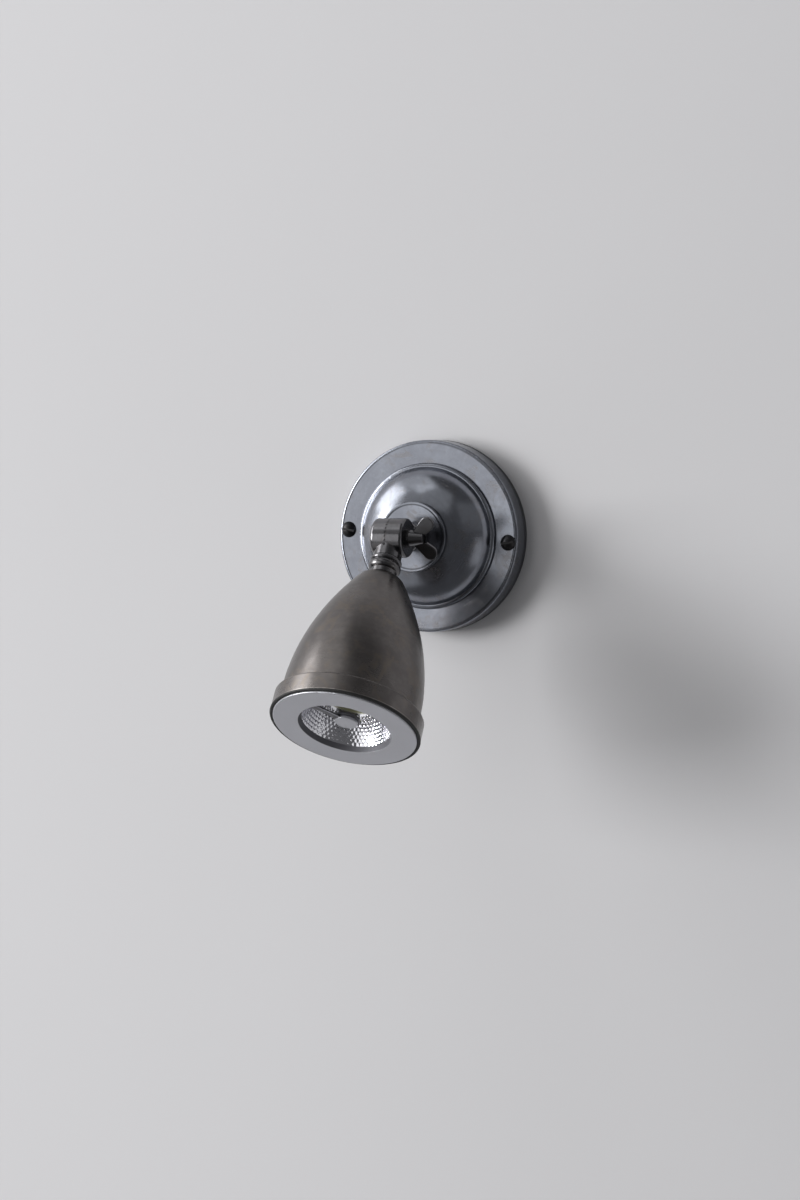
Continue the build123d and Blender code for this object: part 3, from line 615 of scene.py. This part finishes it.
def bridge_arm():
    """The flat arm, from inside the coin to the aperture's wall."""
    select_nothing()
    bpy.ops.mesh.primitive_cube_add(size=1.0, location=(0, 0, 0))
    arm = bpy.context.object
    arm.name = "bridge_arm"
    for vertex in arm.data.vertices:
        line = arm_upper_line if vertex.co.z > 0 else arm_lower_line
        reach, height = line[1] if vertex.co.x > 0 else line[0]
        vertex.co = (reach, vertex.co.y * arm_width, height)
    softened = arm.modifiers.new("edges", "BEVEL")
    softened.width, softened.segments = arm_rounding, 2
    bpy.ops.object.modifier_apply(modifier="edges")
    arm.data.materials.append(bridge_dark_and_shaded)
    arm.data.materials.append(silver_face)
    # Slanting bevels that face out of the bowl get the silver, as a painted highlight along the
    # arm's edges.
    for face in arm.data.polygons:
        slanting = 0.2 < abs(face.normal.y) < 0.95
        face.material_index = int(slanting and face.normal.z > 0)
    arm.rotation_euler.z = arm_turn
    bpy.ops.object.transform_apply(location=False, rotation=True, scale=False)
    bpy.ops.object.shade_smooth_by_angle(angle=smooth_below)
    return arm


collar_top = coin_top - coin_thickness
collar_floor = collar_top - collar_thickness
coin = turned_disc("bridge_coin", coin_radius, collar_top, coin_top, coin_rim)
coin.data.materials.append(silver_face)
collar = turned_disc("bridge_collar", collar_radius, collar_floor, collar_top, collar_rim)
collar.data.materials.append(bridge_dark_and_shaded)
bridge_parts = [coin, collar, bridge_arm()]
for piece in bridge_parts:
    set_in_head(piece)
    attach(piece, "lamp")
    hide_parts("led_bridge")
print("bridge pieces", [piece.name for piece in bridge_parts])

# %% [markdown]
# The wall is the backdrop: smooth plaster under matt paint. It is drawn with one side, so a view
# from behind looks through it at the back of the plate. Light doesn't reach that back, because
# the wall lies a tenth of a millimetre behind it, so it renders black.


# %% Wall
def paint_wall():
    made, surface, place = new_material("wall_paint")
    clouds = place.noise(3.0, 3.0, 0.5)
    grain = place.noise(900.0, 3.0, 0.6)
    feed(
        surface,
        Base_Color=clouds.mix(colour(0.640, 0.636, 0.650), colour(0.680, 0.676, 0.690)),
        Roughness=0.85,
    )
    bumped(surface, clouds * 6.0 + grain, 0.03 * mm, strength=0.5)
    behind = place.node("ShaderNodeNewGeometry", output="Backfacing")
    clear = place.node("ShaderNodeBsdfTransparent")
    painted = Wire(made.node_tree, surface.outputs[0])
    either = behind.node("ShaderNodeMixShader", {0: behind, 1: painted, 2: clear})
    output = made.node_tree.nodes["Material Output"]
    made.node_tree.links.new(either.socket, output.inputs["Surface"])
    return made


wall_gap = 0.1 * mm
wall_size = 8.0
select_nothing()
bpy.ops.mesh.primitive_plane_add(
    size=wall_size, location=(0, wall_gap, 0), rotation=(math.pi / 2, 0, 0)
)
wall = bpy.context.object
wall.name = "wall_backdrop"
bpy.ops.object.transform_apply(location=True, rotation=True, scale=True)
wall.data.materials.append(paint_wall())

# %% [markdown]
# Dark polished metal shows what it mirrors more than what shines on it. So the studio is a ring
# of soft boxes three metres away: a bright one low on the left, which is the key and throws the
# soft shadow, a broad paler skirt round it, and dim ones in front, below and on the right that
# give the far sides of the dome their grey. Each is given by its direction from the light, its
# width and height in degrees and its brightness, from which its power follows. The room itself is
# dim in front of the wall and paler behind it, where it is the background of a view from the back.


# %% Light
box_distance = 3.0
aim = Vector((0, -0.05, -0.03))


def direction(azimuth, elevation):
    """Unit vector into the room: azimuth 0 is straight out of the wall, minus is left."""
    turn, lift = math.radians(azimuth), math.radians(elevation)
    return Vector(
        (math.sin(turn) * math.cos(lift), -math.cos(turn) * math.cos(lift), math.sin(lift))
    )


def soft_box(name, azimuth, elevation, width, height, brightness):
    data = bpy.data.lights.new(name, "AREA")
    data.shape = "RECTANGLE"
    data.size = 2.0 * box_distance * math.tan(math.radians(width / 2.0))
    data.size_y = 2.0 * box_distance * math.tan(math.radians(height / 2.0))
    data.energy = math.pi * data.size * data.size_y * brightness
    lamp = bpy.data.objects.new(name, data)
    bpy.context.scene.collection.objects.link(lamp)
    away = direction(azimuth, elevation)
    lamp.location = aim + away * box_distance
    lamp.rotation_euler = away.to_track_quat("Z", "Y").to_euler()
    lamp.visible_camera = False


soft_boxes = [
    ("key", -57, 6, 24, 24, 15.6),
    ("key_skirt_high", -72, 32, 32, 26, 3.8),
    ("key_skirt_left", -79, 6, 18, 24, 1.2),
    ("high_left", -60, 62, 50, 26, 0.8),
    ("front_left", -30, 2, 34, 40, 1.05),
    ("front_left_low", -42, -38, 44, 30, 0.40),
    ("front_high", -10, 45, 50, 34, 0.30),
    ("right", 62, 26, 50, 36, 0.12),
    ("right_low", 76, -20, 26, 32, 0.50),
]
for row in soft_boxes:
    soft_box(*row)
print("soft boxes", len(soft_boxes))

world = bpy.data.worlds.new("room")
world.use_nodes = True
bpy.context.scene.world = world
room = Wire(world.node_tree)
behind_wall = room.node("ShaderNodeTexCoord", output="Generated").part("Y").step(0.02, 0.20)
dim_front, pale_back = colour(0.12, 0.12, 0.123), colour(0.50, 0.50, 0.51)
room_colour = behind_wall.mix(dim_front, pale_back)
world.node_tree.links.new(
    room_colour.socket, world.node_tree.nodes["Background"].inputs["Color"]
)

# %% Look
bpy.context.scene.view_settings.view_transform = "Standard"
